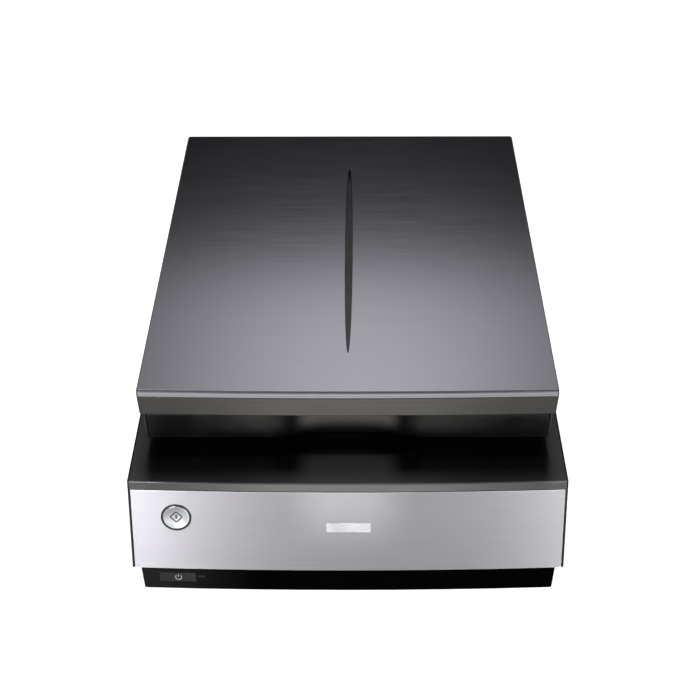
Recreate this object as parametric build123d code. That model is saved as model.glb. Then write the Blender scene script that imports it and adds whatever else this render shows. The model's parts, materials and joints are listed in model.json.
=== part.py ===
from build123d import *

import math
import os

# A flatbed photo scanner with a transparency light in its lid, in millimetres.
# Origin: the middle of its footprint, on the surface it stands on.
# +X is the user's right, +Y goes to the back, +Z is up.

# ---------------------------------------------------------------- overall size
WIDTH = 308.0
DEPTH = 503.0
HEIGHT = 152.4
HALF_WIDTH = WIDTH / 2
BACK_Y = DEPTH / 2
BADGE_PROUD = 0.3
FRONT_Y = -DEPTH / 2 + BADGE_PROUD  # the foremost point of the bowed front
BOW = 4.0  # how far the front's middle stands ahead of its corners
WALL = 2.5
CLEAR = 0.3  # gap between pieces that move past each other
RUNNING = 0.05  # radial clearance of a shaft in its bearing

# ---------------------------------------------------------------- base
PLINTH_BOTTOM = 0.6
PLINTH_TOP = 22.5
PLINTH_INSET_TOP = 5.0
PLINTH_INSET_BOTTOM = 7.0
FLOOR_TOP = 4.0
STRIP_BOTTOM = 88.4
DECK_TOP = 95.1
DECK_PLATE_BOTTOM = 92.3
PANEL_HALF_WIDTH = 152.0
PANEL_THICKNESS = 2.5
PANEL_TOP = 88.0
FOOT_RADIUS = 8.0
COLUMN_TOP = 30.0  # where the pan's screw columns meet the deck's bosses
FOOT_PLACES = [(side * 124.0, y) for side in (-1, 1) for y in (-214.0, 226.0)]
COLUMN_PLACES = [(side * 138.0, y) for side in (-1, 1) for y in (-218.0, 0.0, 208.0)]

# ---------------------------------------------------------------- document glass
OPENING_HALF_WIDTH = 111.0
OPENING_FRONT = -166.0
OPENING_BACK = 140.0
GLASS_THICKNESS = 3.0

# ---------------------------------------------------------------- controls
START_X = -120.7
START_Z = 66.2
BEZEL_RADIUS = 10.75
CAP_RADIUS = 9.6
CAP_DISH = 30.0  # radius of the hollow in the cap's face
CAP_DISH_DEPTH = 1.2
BARREL_RADIUS = 10.3  # the bezel's part that passes through the panel
POWER_X = -122.4
POWER_Z = 11.25
POWER_WIDTH = 26.4
POWER_HEIGHT = 7.7
STATUS_X = -105.2
STATUS_Z = 11.9
BADGE_X = 0.5
BADGE_Z = 59.0
BUTTON_BOARD_Y = -231.0
LOCK_X = -130.0
LOCK_Y = 165.0

# ---------------------------------------------------------------- rear sockets
PORT_FACE_Y = 251.0
# Each socket shell's middle X, middle Z, half width and half height.
PORT_SHELLS = [(-104.0, 36.4, 13.9, 9.9), (60.0, 37.0, 5.9, 5.4), (96.0, 37.0, 16.9, 5.4)]
MAIN_BOARD_Z = 30.0
POWER_BOARD_Z = 18.0

# ---------------------------------------------------------------- scan drive
CARRIAGE_HOME_Y = 150.0
CARRIAGE_HALF_WIDTH = 118.0
CARRIAGE_HALF_DEPTH = 40.0
CARRIAGE_BOTTOM = 34.0
CARRIAGE_TOP = 84.0
HUB_PLACES = (CARRIAGE_HOME_Y - 22, CARRIAGE_HOME_Y + 22)
ROD_X = -85.0
ROD_Z = 22.0
ROD_RADIUS = 4.0
ROD_SEATS = (-226.0, 195.0)
RAIL_X = 95.0
RAIL_TOP = 26.0
BELT_X = -40.0
BELT_BOTTOM = 17.0
BELT_WIDTH = 6.0
BELT_THICKNESS = 1.2
PULLEY_RADIUS = 8.0
DRIVE_PULLEY_Y = 222.0
IDLER_Y = -212.0
AXLE_RADIUS = 2.0
GEAR_MODULE = 0.8
GEAR_TEETH = 60
PINION_TEETH = 15
PINION_X = BELT_X + GEAR_MODULE * (GEAR_TEETH + PINION_TEETH) / 2
GEAR_BOTTOM = 26.5
GEAR_TOP = 31.5
MOTOR_PLATE_Z = 24.0
LENS_SHIFT = 24.0
LENS_SHELF = 55.7
OPTICAL_Z = 68.0

# ---------------------------------------------------------------- lid
LID_BOTTOM = 96.1
LIP_BOTTOM = 132.2
RIM_BOTTOM = 146.8
REBATE_Z = 151.2
LID_HALF_BOTTOM = 143.7
LID_HALF_MIDDLE = 146.0
LID_HALF_TOP = 147.4
LID_FRONT = -222.2
LID_FRONT_LIP = -220.9
LID_BOW = 3.0
TRAY_FRONT = -201.5
TRAY_FLOOR = LID_BOTTOM + WALL
UNDERCUT_Y = -182.0  # the lid's foot is set back to here
UNDERCUT_TOP = 103.4  # the lower edge of the lid's front wall
SCOOP_HALF_WIDTH = 58.0
SCOOP_DEPTH = 10.2
WINDOW_HALF_WIDTH = 103.0
WINDOW_FRONT = -150.0
WINDOW_BACK = 112.0
MAT_HALF_WIDTH = 108.0
MAT_FRONT = -163.0
MAT_BACK = 137.0
SLIT_Y = 5.1
SLIT_HALF_LENGTH = 170.6
SLIT_HALF_WIDTH = 3.0
GLAND_X = 60.0
GLAND_Z = 115.0

# ---------------------------------------------------------------- hinge
HINGE_X = 125.0
HINGE_Y = 235.0
HINGE_Z = 117.0
PIN_RADIUS = 3.0
POST_HALF_WIDTH = 10.0
POST_HALF_DEPTH = 6.0
POST_BOTTOM = 55.0
TAIL_RADIUS = HINGE_Z - LID_BOTTOM  # the lid's rounded tail, about the hinge axis

# ---------------------------------------------------------------- lid lamp drive
LAMP_HOME_Y = 140.0
LAMP_ROD_X = -134.0
LAMP_ROD_Z = 118.0
LAMP_ROD_RADIUS = 3.0
LAMP_RAIL_TOP = 106.0
LAMP_BELT_X = -119.0
LAMP_BELT_BOTTOM = 106.5
LAMP_BELT_WIDTH = 5.0
LAMP_PULLEY_RADIUS = 5.0
LAMP_AXLE = 1.5
LAMP_DRIVE_Y = 192.0
LAMP_IDLER_Y = -176.0
LAMP_MOTOR_PLATE = 113.3
LAMP_MOTOR_POSTS = [(-133.0, 203.0), (-105.0, 203.0), (-105.0, 181.0)]


# ================================================================ helpers
def block(x, y, z):
    """A box between (low, high) pairs along X, Y and Z."""
    size = Box(x[1] - x[0], y[1] - y[0], z[1] - z[0])
    return Pos((x[0] + x[1]) / 2, (y[0] + y[1]) / 2, (z[0] + z[1]) / 2) * size


def disc(x, y, z, radius):
    """A cylinder standing on Z between a (low, high) pair."""
    return Pos(x, y, (z[0] + z[1]) / 2) * Cylinder(radius, z[1] - z[0])


def bar_x(x, y, z, radius):
    """A cylinder lying along X between a (low, high) pair."""
    return Pos((x[0] + x[1]) / 2, y, z) * Rot(0, 90, 0) * Cylinder(radius, x[1] - x[0])


def bar_y(x, y, z, radius):
    """A cylinder lying along Y between a (low, high) pair."""
    return Pos(x, (y[0] + y[1]) / 2, z) * Rot(90, 0, 0) * Cylinder(radius, y[1] - y[0])


def span(middle, half):
    """The (low, high) pair that lies half each side of a middle."""
    return (middle - half, middle + half)


def group(pieces):
    """Several separate solids kept together in one node."""
    return Compound(children=[solid for piece in pieces for solid in piece.solids()])


def bow_radius(half_width, bow):
    """Radius of the arc that rises by bow over a chord of twice half_width."""
    return (half_width**2 + bow**2) / (2 * bow)


def plan(half_width, middle_y, back_y, radius, z, front_round=0.0, back_round=0.0):
    """A plan outline at height z: a front arc whose foremost point is at middle_y, square behind."""
    corner_y = middle_y + radius - math.sqrt(radius**2 - half_width**2)
    corners = [(-half_width, corner_y, z), (half_width, corner_y, z)]
    front = ThreePointArc(corners[0], (0, middle_y, z), corners[1])
    rest = Polyline(corners[1], (half_width, back_y, z), (-half_width, back_y, z), corners[0])
    face = make_face(Curve() + [front, rest]).face()
    if front_round:
        face = face.fillet_2d(front_round, [v for v in face.vertices() if v.Y < 0])
    if back_round:
        face = face.fillet_2d(back_round, [v for v in face.vertices() if v.Y > back_y - 0.01])
    return face


def prism(face, height):
    """A flat outline raised straight up."""
    return extrude(face, amount=height, dir=(0, 0, 1))


BASE_ARC = bow_radius(HALF_WIDTH, BOW)
LID_ARC = bow_radius(LID_HALF_TOP, LID_BOW)


def base_plan(side, front, back, z, front_round=0.0, back_round=0.0):
    """The base's outline, drawn in from its sides, front and back."""
    return plan(HALF_WIDTH - side, FRONT_Y + front, BACK_Y - back, BASE_ARC, z, front_round, back_round)


def bow_y(x):
    """Where the bowed front of the base lies at x."""
    return FRONT_Y + BASE_ARC - math.sqrt(BASE_ARC**2 - x**2)


def belt_loop(x, ends, radius, bottom, width):
    """A closed belt round two pulleys, held a hair clear of them."""

    def racetrack(r):
        pieces = [disc(x, y, (bottom, bottom + width), r) for y in ends]
        return pieces[0] + pieces[1] + block(span(x, r), ends, (bottom, bottom + width))

    inner = radius + CLEAR
    return racetrack(inner + BELT_THICKNESS) - racetrack(inner)


def pulley(x, y, bottom, width, radius, bore):
    """A flanged belt pulley on a vertical axis; the belt's width fits between its flanges."""
    flange = 0.5
    low = bottom - CLEAR
    high = bottom + width + CLEAR
    drum = disc(x, y, (low, high), radius)
    for z in ((low - flange, low), (high, high + flange)):
        drum += disc(x, y, z, radius + 2.2)
    return drum - disc(x, y, (low - 2, high + 2), bore)


def gear_outline(teeth, module):
    """A spur gear's outline with involute flanks, a 20 degree pressure angle and stub teeth."""
    pitch = teeth * module / 2
    base = pitch * math.cos(math.radians(20))
    tip = pitch + 0.8 * module
    root = pitch - module
    backlash = 0.12
    flank_turn = math.tan(math.radians(20)) - math.radians(20)
    half_tooth = (math.pi * module / 2 - backlash) / (2 * pitch) + flank_turn

    def flank(radius):
        """How far the involute has turned from its start at this radius."""
        angle = math.acos(min(1.0, base / radius))
        return math.tan(angle) - angle

    low = max(base, root)
    radii = [low + (tip - low) * step / 4 for step in range(5)]
    points = []
    for tooth in range(teeth):
        middle = 2 * math.pi * tooth / teeth
        rising = [(radius, middle - half_tooth + flank(radius)) for radius in radii]
        falling = [(radius, middle + half_tooth - flank(radius)) for radius in reversed(radii)]
        polar = [(root, middle - half_tooth), *rising, *falling, (root, middle + half_tooth)]
        points += [(radius * math.cos(angle), radius * math.sin(angle)) for radius, angle in polar]
    return make_face(Polyline(*points, close=True)).face()


def gear(x, y, z, teeth):
    """A spur gear on a vertical axis between a (low, high) pair of heights."""
    return Pos(x, y, z[0]) * prism(gear_outline(teeth, GEAR_MODULE), z[1] - z[0])


def side_notches(half_width, y, z):
    """The same box cut at both hinges."""
    cuts = [block(span(side * HINGE_X, half_width), y, z) for side in (-1, 1)]
    return cuts[0] + cuts[1]


# ================================================================ base: shells
def plinth(shrink, bottom, top):
    """The drafted plinth, drawn in evenly by shrink."""
    low = PLINTH_INSET_BOTTOM + shrink
    high = PLINTH_INSET_TOP + shrink
    return loft([base_plan(low, low, low, bottom, 2, 6), base_plan(high, high, high, top, 2, 6)], ruled=True)


def start_place():
    """The start button's place on the bowed front, with its local +Y going inwards."""
    turn = math.degrees(math.asin(START_X / BASE_ARC))
    return Pos(START_X, bow_y(START_X), START_Z) * Rot(0, 0, turn)


def lower_case():
    """The side and back walls and the ledge under them, with holes for the rear sockets."""
    height = STRIP_BOTTOM - PLINTH_TOP
    skin = PANEL_THICKNESS + 0.1
    walls = prism(base_plan(0, 0, 0, PLINTH_TOP, 1.5, 6), height)
    ahead = prism(base_plan(-5, -10, 0, PLINTH_TOP), height)
    ahead -= prism(base_plan(-5, skin, 0, PLINTH_TOP), height)
    walls -= ahead & block(span(0, PANEL_HALF_WIDTH + 0.2), (-270, 0), (0, 200))
    walls -= prism(base_plan(WALL, -10, WALL, PLINTH_TOP + WALL, 0, 4), height)
    inner = PLINTH_INSET_TOP + WALL
    walls -= prism(base_plan(inner, inner, inner, PLINTH_TOP - 1, 1, 4), WALL + 2)
    for cut in rear_port_holes():
        walls -= cut
    return walls


def base_pan():
    """The drafted plinth with its floor, screw columns and seats for the inner pieces."""
    pan = plinth(0, PLINTH_BOTTOM, PLINTH_TOP)
    pan -= plinth(WALL, FLOOR_TOP, PLINTH_TOP + 3)
    for x, y in COLUMN_PLACES:
        pan += disc(x, y, (FLOOR_TOP - 1, COLUMN_TOP), 5.5)
    for x, y in FOOT_PLACES:
        pan += disc(x, y, (FLOOR_TOP - 1, FLOOR_TOP + 1), 10.5)
    for seat in inner_seats():
        pan += seat
    for x, y in COLUMN_PLACES:
        pan -= disc(x, y, (0, COLUMN_TOP - 4), 3.5)
        pan -= disc(x, y, (COLUMN_TOP - 5, COLUMN_TOP + 1), 1.8)
    for x, y in FOOT_PLACES:
        pan -= disc(x, y, (0, 3), FOOT_RADIUS)
    pan -= disc(BELT_X, DRIVE_PULLEY_Y, (8, 20), AXLE_RADIUS)
    for cut in key_holes():
        pan -= cut
    return pan


def inner_seats():
    """Pads and posts on the pan's floor."""
    base = FLOOR_TOP - 1
    seats = [block(span(ROD_X, 7), span(y, 5), (base, ROD_Z - ROD_RADIUS)) for y in ROD_SEATS]
    seats += [block(span(RAIL_X, 5), span(y, 6), (base, RAIL_TOP - 3)) for y in (-200, -70, 70, 200)]
    seats.append(disc(BELT_X, DRIVE_PULLEY_Y, (base, 15.5), 5))
    seats.append(block((-60, -30), (-222, -204), (base, 8)))
    seats.append(block((-66, -58), (-235, -231), (base, 16)))
    seats.append(block((-134, -98), (-233, -227.5), (base, 5.5)))
    seats += [disc(x, y, (base, MOTOR_PLATE_Z), 3) for x in (-62, 12) for y in (202, 236)]
    seats += [disc(x, y, (base, MAIN_BOARD_Z), 3) for x in (26, 120) for y in (208, 240)]
    seats += [disc(x, y, (base, POWER_BOARD_Z), 3) for x in (-125, -74) for y in (210, 234)]
    return seats


def key_holes():
    """Openings in the plinth's front for the power key and the status light."""
    power = block(
        span(POWER_X, POWER_WIDTH / 2 + CLEAR), (-260, -234), span(POWER_Z, POWER_HEIGHT / 2 + CLEAR)
    )
    light = block(span(STATUS_X, 3), (-260, -234), span(STATUS_Z, 1))
    return [power, light]


def rear_port_holes():
    """Openings in the back wall, each the size of its socket's shell."""
    return [block(span(x, w + 0.1), (245, 256), span(z, h + 0.1)) for x, z, w, h in PORT_SHELLS]


def upper_case():
    """The deck frame: plate round the glass, skirt with the front strip, screw bosses."""
    deck = prism(base_plan(0, 0, 0, STRIP_BOTTOM, 1.5, 6), DECK_TOP - STRIP_BOTTOM)
    deck = fillet(deck.faces().sort_by(Axis.Z)[-1].edges(), 1.0)
    deck -= prism(base_plan(3, 3, 3, STRIP_BOTTOM, 1, 4), DECK_PLATE_BOTTOM - STRIP_BOTTOM)
    through = (DECK_PLATE_BOTTOM - 1, DECK_TOP + 1)
    deck -= block(span(0, OPENING_HALF_WIDTH), (OPENING_FRONT, OPENING_BACK), through)
    deck -= block(span(0, 109.5), (142.5, 158.5), (DECK_PLATE_BOTTOM - 1, DECK_PLATE_BOTTOM + 0.5))
    deck -= side_notches(POST_HALF_WIDTH + CLEAR, span(HINGE_Y, POST_HALF_DEPTH + CLEAR), through)
    deck -= block((LOCK_X - 9, LOCK_X + 15), span(LOCK_Y, 6.5), (DECK_TOP - 1.6, DECK_TOP + 1))
    deck -= block((LOCK_X - 3, LOCK_X + 9), span(LOCK_Y, 2.5), through)
    for x, y in COLUMN_PLACES:
        deck += disc(x, y, (COLUMN_TOP + 0.2, DECK_PLATE_BOTTOM + 1), 4.5)
        deck -= disc(x, y, (COLUMN_TOP, COLUMN_TOP + 14), 1.5)
    return deck


def panel_lugs():
    """Blocks behind the front panel: the upper ones meet the deck's skirt, the lower rest on the ledge."""
    lugs = []
    ledge_top = PLINTH_TOP + WALL
    for x in (-90, -30, 30, 90):
        y = bow_y(x)
        upper = block(span(x, 6), (y + 2, y + 5.6), (81, 87.5))
        lugs.append(upper + block(span(x, 6), (y + 3.6, y + 5.6), (81, DECK_PLATE_BOTTOM - 1)))
        lugs.append(block(span(x, 6), (y + 2, y + 6.5), (ledge_top + 0.1, ledge_top + 2)))
    return lugs


def front_panel():
    """The bowed silver front plate, with rounded lower corners, lugs and the bezel's hole."""
    bottom = PLINTH_TOP + 0.2
    height = PANEL_TOP - bottom
    plate = prism(base_plan(-2, 0, 0, bottom), height)
    plate -= prism(base_plan(-4, PANEL_THICKNESS, -2, bottom - 1), height + 2)
    mask = block(span(0, PANEL_HALF_WIDTH), (-260, -230), (bottom, PANEL_TOP))
    corners = mask.edges().filter_by(Axis.Y).sort_by(Axis.Z)[:2]
    plate &= fillet(corners, 2.5)
    for lug in panel_lugs():
        plate += lug
    return plate - start_place() * bar_y(0, (-6, 12), 0, BARREL_RADIUS + 0.1)


# ================================================================ base: controls and trim
def start_button_bezel():
    """The dark ring round the start button: a flange on the panel and a barrel through it."""
    flange = bar_y(0, (-0.9, -0.05), 0, BEZEL_RADIUS)
    flange = fillet(flange.edges().sort_by(Axis.Y)[0], 0.3)
    ring = flange + bar_y(0, (-0.3, 6), 0, BARREL_RADIUS) - bar_y(0, (-3, 8), 0, CAP_RADIUS + 0.12)
    return start_place() * ring


def start_button():
    """The round cap: a shallow dish in front, a skirt, and a stem that meets the switch."""
    face_y = -0.7
    cap = bar_y(0, (face_y, 2.2), 0, CAP_RADIUS)
    cap = fillet(cap.edges().sort_by(Axis.Y)[0], 0.6)
    cap -= Pos(0, face_y - CAP_DISH + CAP_DISH_DEPTH, 0) * Sphere(CAP_DISH)
    cap += bar_y(0, (2, 5.5), 0, CAP_RADIUS - 0.6) - bar_y(0, (2, 6), 0, CAP_RADIUS - 2.2)
    cap += bar_y(0, (2, 12), 0, 2)
    return start_place() * cap


def power_button():
    """The wide power key: its face follows the plinth and stands a little proud."""
    key = block(span(POWER_X, POWER_WIDTH / 2), (-260, -238), span(POWER_Z, POWER_HEIGHT / 2))
    key &= Pos(0, -0.4, 0) * plinth(0, PLINTH_BOTTOM, PLINTH_TOP)
    return key + bar_y(POWER_X, (-238.5, -234.2), POWER_Z, 2)


def status_light():
    """The clear bar that carries the board's lamp to the plinth's face."""
    bar = block(span(STATUS_X, 2.9), (-250, -233.5), span(STATUS_Z, 0.9))
    return bar & plinth(0, PLINTH_BOTTOM, PLINTH_TOP)


def badge_plate():
    """A small blank plate stuck on the middle of the front panel."""
    plate = block(span(BADGE_X, 15.5), (-252.5, -250), span(BADGE_Z, 3.8))
    plate = fillet(plate.edges().filter_by(Axis.Y), 1.2)
    ahead = prism(base_plan(-5, -BADGE_PROUD, 0, 0), 100) - prism(base_plan(-7, 0, -2, -1), 102)
    return plate & ahead


def button_board():
    """The upright board behind the controls, with two switches and the status lamp."""
    front = BUTTON_BOARD_Y
    board = block((-134, -98), (front, front + 1.6), (5.5, 76))
    board += block(span(START_X, 3), (-235.3, front), span(START_Z, 3))
    board += block(span(POWER_X, 3), (-233.1, front), span(POWER_Z, 3))
    board += block(span(STATUS_X, 1.5), (-233.3, front), span(STATUS_Z, 1))
    board += block((-130, -116), (front + 1.6, front + 6), (34, 42))
    return board


def transport_lock():
    """The sliding lock in its deck pocket, with a pin that drops beside the carriage."""
    floor = DECK_TOP - 1.5
    lock = block(span(LOCK_X, 8.4), span(LOCK_Y, 6.2), (floor, floor + 1.3))
    for offset in (-3, 0, 3):
        lock += block(span(LOCK_X + offset, 0.5), span(LOCK_Y, 4.5), (floor + 1, floor + 1.8))
    lock += block(span(LOCK_X, 2), span(LOCK_Y, 2), (91.5, floor + 0.5))
    lock += block(span(LOCK_X, 5), span(LOCK_Y, 4.5), (91, 92))
    return lock + disc(LOCK_X, LOCK_Y, (73, 91.5), 2)


def document_glass():
    """The plate that originals lie on."""
    return block(span(0, 117), (-176, 165), (DECK_PLATE_BOTTOM - GLASS_THICKNESS, DECK_PLATE_BOTTOM))


def calibration_strip():
    """The white reference strip, in a groove over the back of the glass."""
    return block(span(0, 109), (143, 158), (DECK_PLATE_BOTTOM, DECK_PLATE_BOTTOM + 0.4))


def rubber_feet():
    """Four feet, set in round recesses in the plinth's underside."""
    feet = []
    for x, y in FOOT_PLACES:
        foot = disc(x, y, (0, 3), FOOT_RADIUS)
        feet.append(fillet(foot.edges().sort_by(Axis.Z)[0], 0.5))
    return group(feet)


def case_screws():
    """Six pan-head screws, up through the pan's columns into the deck's bosses."""
    screws = []
    seat = COLUMN_TOP - 4
    for x, y in COLUMN_PLACES:
        head = disc(x, y, (seat - 2.4, seat), 3)
        for half_x, half_y in ((2.2, 0.4), (0.4, 2.2)):
            head -= block(span(x, half_x), span(y, half_y), (seat - 3, seat - 1.4))
        screws.append(head + disc(x, y, (seat, seat + 15), 1.45))
    return group(screws)


# ================================================================ base: sockets and boards
def port_shell(index, front_y, cavity_width, cavity_height, cavity_front):
    """A socket's shell in the back wall, with its cavity open to the rear."""
    x, z, half_width, half_height = PORT_SHELLS[index]
    shell = block(span(x, half_width), (front_y, PORT_FACE_Y), span(z, half_height))
    mouth = block(span(x, cavity_width / 2), (cavity_front, 256), span(z, cavity_height / 2))
    return shell - mouth


def power_inlet():
    """The three-pin mains inlet."""
    x, z = PORT_SHELLS[0][:2]
    inlet = port_shell(0, 233, 24.2, 16.4, 237.4)
    for pin_x, pin_z in ((-7, -2), (7, -2), (0, 4)):
        inlet += block(span(x + pin_x, 1), (237, 246), span(z + pin_z, 2))
    return inlet


def usb_port():
    """The square data socket, with its tongue."""
    x, z = PORT_SHELLS[1][:2]
    return port_shell(1, 236, 8.5, 7.8, 239) + block(span(x, 2.8), (238, 246), span(z, 1.6))


def option_connector():
    """The wide socket for the lid unit's lead."""
    return port_shell(2, 238, 28, 6.4, 243)


def main_board():
    """The control board at the back right, with its chips and connectors."""
    top = MAIN_BOARD_Z + 1.6
    board = block((22, 128), (204, 248), (MAIN_BOARD_Z, top))
    board += block((40, 58), (212, 230), (top, top + 2.4))
    board += block((66, 78), (208, 222), (top, top + 1.6))
    board += block((88, 112), (208, 214), (top, top + 7))
    for x in (84, 92, 100):
        board += disc(x, 224, (top, top + 8), 3)
    return board


def power_supply_board():
    """The supply board at the back left, with its transformer and capacitors."""
    top = POWER_BOARD_Z + 1.6
    board = block((-131, -69), (206, 238), (POWER_BOARD_Z, top))
    board += block((-98, -76), (209, 227), (top, top + 20))
    board += disc(-116, 217, (top, top + 24), 7)
    board += disc(-105, 230, (top, top + 3), 2)
    return board


# ================================================================ base: scan drive
def guide_rod():
    """The polished rod that the scan carriage rides on."""
    return bar_y(ROD_X, (-232, 200), ROD_Z, ROD_RADIUS)


def rod_clips():
    """The saddles that hold the rod on its seats."""
    clips = []
    seat = ROD_Z - ROD_RADIUS
    for y in ROD_SEATS:
        saddle = block(span(ROD_X, 6.5), span(y, 3), (seat, ROD_Z + 5.5))
        saddle -= bar_y(ROD_X, span(y, 5), ROD_Z, ROD_RADIUS + 0.02)
        clips.append(saddle - block(span(ROD_X, ROD_RADIUS + 0.02), span(y, 5), (seat - 1, ROD_Z)))
    return group(clips)


def slide_rail():
    """The flat steel rail under the carriage's other side."""
    return block(span(RAIL_X, 5), (-215, 212), (RAIL_TOP - 3, RAIL_TOP))


def drive_motor():
    """The stepper motor hung under its plate, with its shaft."""
    motor = block(span(PINION_X, 17.5), span(DRIVE_PULLEY_Y, 17.5), (5.5, MOTOR_PLATE_Z))
    motor = fillet(motor.edges().filter_by(Axis.Z), 4)
    return motor + disc(PINION_X, DRIVE_PULLEY_Y, (MOTOR_PLATE_Z - 1, 33), AXLE_RADIUS)


def motor_bracket():
    """The steel plate that carries the motor and clears the gear's hub."""
    plate = block((-66, 16), (198, 240.5), (MOTOR_PLATE_Z, MOTOR_PLATE_Z + 1.5))
    plate = fillet(plate.edges().filter_by(Axis.Z), 3)
    plate -= disc(BELT_X, DRIVE_PULLEY_Y, (20, 30), 6.5)
    return plate - disc(PINION_X, DRIVE_PULLEY_Y, (20, 30), 4)


def motor_pinion():
    """The small gear on the motor's shaft."""
    pinion = gear(PINION_X, DRIVE_PULLEY_Y, (GEAR_BOTTOM, GEAR_TOP), PINION_TEETH)
    return pinion - disc(PINION_X, DRIVE_PULLEY_Y, (20, 40), AXLE_RADIUS + RUNNING)


def drive_gear():
    """The large gear with the belt's drive pulley under it, in one moulding."""
    bore = AXLE_RADIUS + RUNNING
    wheel = gear(BELT_X, DRIVE_PULLEY_Y, (GEAR_BOTTOM, GEAR_TOP), GEAR_TEETH)
    web = disc(BELT_X, DRIVE_PULLEY_Y, (GEAR_TOP - 1.5, GEAR_TOP + 1), 20)
    wheel -= web - disc(BELT_X, DRIVE_PULLEY_Y, (20, 40), 6)
    wheel += disc(BELT_X, DRIVE_PULLEY_Y, (BELT_BOTTOM + BELT_WIDTH, GEAR_BOTTOM + 1), 5.5)
    wheel -= disc(BELT_X, DRIVE_PULLEY_Y, (10, 40), bore)
    return wheel + pulley(BELT_X, DRIVE_PULLEY_Y, BELT_BOTTOM, BELT_WIDTH, PULLEY_RADIUS, bore)


def idler_pulley():
    """The pulley at the belt's front end."""
    return pulley(BELT_X, IDLER_Y, BELT_BOTTOM, BELT_WIDTH, PULLEY_RADIUS, AXLE_RADIUS + RUNNING)


def pulley_axles():
    """The steel pins under the drive gear and the idler."""
    return group([disc(BELT_X, y, (8, top), AXLE_RADIUS) for y, top in ((DRIVE_PULLEY_Y, 33), (IDLER_Y, 25))])


def idler_bracket():
    """The sliding plate that the belt's tension spring pulls."""
    plate = block((-58, -28), (-226, -200), (8, 10)) + disc(BELT_X, IDLER_Y, (9, 15.7), 4)
    plate += block((-67, -57), (-204, -200), (8, 16))
    return plate - disc(BELT_X, IDLER_Y, (7, 20), AXLE_RADIUS)


def tension_spring():
    """The coil between the idler's plate and its post."""
    radius = 2.6
    wire = 0.45
    coil = Helix(pitch=2.2, height=22, radius=radius)
    profile = Plane(origin=coil @ 0, z_dir=coil % 0) * Circle(wire)
    spring = Rot(90, 0, 0) * sweep(profile, path=coil, is_frenet=True)
    plugs = [bar_y(-62, y, 12.5, radius + wire) for y in ((-231, -229.5), (-205.5, -204))]
    return group([Pos(-62, -206.5, 12.5) * spring, *plugs])


def timing_belt():
    """The belt that pulls the scan carriage."""
    return belt_loop(BELT_X, (IDLER_Y, DRIVE_PULLEY_Y), PULLEY_RADIUS, BELT_BOTTOM, BELT_WIDTH)


# ================================================================ scan carriage
def belt_jaw():
    """The jaw under the carriage that grips the belt's right run."""
    run = BELT_X + PULLEY_RADIUS + CLEAR + BELT_THICKNESS / 2
    jaw = block(span(run, 5), span(CARRIAGE_HOME_Y, 9), (BELT_BOTTOM - 1.5, CARRIAGE_BOTTOM + 1))
    slot = BELT_THICKNESS / 2 + CLEAR
    z = (BELT_BOTTOM - CLEAR, BELT_BOTTOM + BELT_WIDTH + CLEAR)
    return jaw - block(span(run, slot), span(CARRIAGE_HOME_Y, 12), z)


def carriage_housing():
    """The open tray of the carriage: rod hubs, a belt jaw, a shelf for the lenses, a fork for the lock."""
    middle = CARRIAGE_HOME_Y
    depth = CARRIAGE_HALF_DEPTH
    wall = WALL
    top = CARRIAGE_TOP - wall
    tray = block(span(0, CARRIAGE_HALF_WIDTH), span(middle, depth), (CARRIAGE_BOTTOM, top))
    tray -= block(
        span(0, CARRIAGE_HALF_WIDTH - wall), span(middle, depth - wall), (CARRIAGE_BOTTOM + wall, top + 1)
    )
    tray += block((-44, 48), (119, 141), (CARRIAGE_BOTTOM + 1, LENS_SHELF))
    tray += belt_jaw()
    for y in HUB_PLACES:
        tray += block(span(ROD_X, 10), span(y, 7), (13.5, CARRIAGE_BOTTOM + 1))
        tray -= bar_y(ROD_X, span(y, 8), ROD_Z, 6.5)
    tray += block((-126, -117), span(LOCK_Y, 7), (74, 79))
    return tray - block((-127, -120), span(LOCK_Y, 2.6), (73, 80))


def carriage_cover():
    """The carriage's top plate, with the slit that the light comes down."""
    z = (CARRIAGE_TOP - WALL, CARRIAGE_TOP)
    plate = block(span(0, CARRIAGE_HALF_WIDTH), span(CARRIAGE_HOME_Y, CARRIAGE_HALF_DEPTH), z)
    return plate - block(span(0, 110), span(CARRIAGE_HOME_Y, 4), (70, 90))


def carriage_lamps():
    """Two light bars, one each side of the slit."""
    rows = [CARRIAGE_HOME_Y - 9, CARRIAGE_HOME_Y + 9]
    return group([block(span(0, 112), span(y, 3), (CARRIAGE_TOP, CARRIAGE_TOP + 2.8)) for y in rows])


def carriage_mirrors():
    """Three long mirrors that fold the light from the slit to the lens."""
    mirrors = []
    for y, z, tilt in ((150, 44, -45), (178, 44, 45), (178, OPTICAL_Z, 135)):
        mirrors.append(Pos(0, y, z) * Rot(tilt, 0, 0) * Box(2 * (CARRIAGE_HALF_WIDTH - WALL), 14, 2))
    return group(mirrors)


def lens_carrier():
    """The block with two lens seats, which slides sideways to choose one."""
    carrier = block((-36, 12), (121, 139), (LENS_SHELF + CLEAR, 80))
    for x in (0, -LENS_SHIFT):
        carrier -= bar_y(x, (115, 145), OPTICAL_Z, 8)
    return carrier


def scan_lenses():
    """Two lenses in their barrels, bulging a little at each end."""
    lenses = []
    for x in (0, -LENS_SHIFT):
        barrel = bar_y(x, (123, 137), OPTICAL_Z, 8)
        bulge = Pos(x, 130, OPTICAL_Z) * Sphere(9.5)
        lenses.append(barrel + (bulge & bar_y(x, (118, 142), OPTICAL_Z, 6)))
    return group(lenses)


def sensor_board():
    """The board with the long image sensor behind the lens."""
    board = block((-50, 50), (113.5, 115.1), (52, 80)) + block((-32, 32), (115, 118), (64, 72))
    return board + block((-48, -38), (115, 118), (54, 60))


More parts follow.
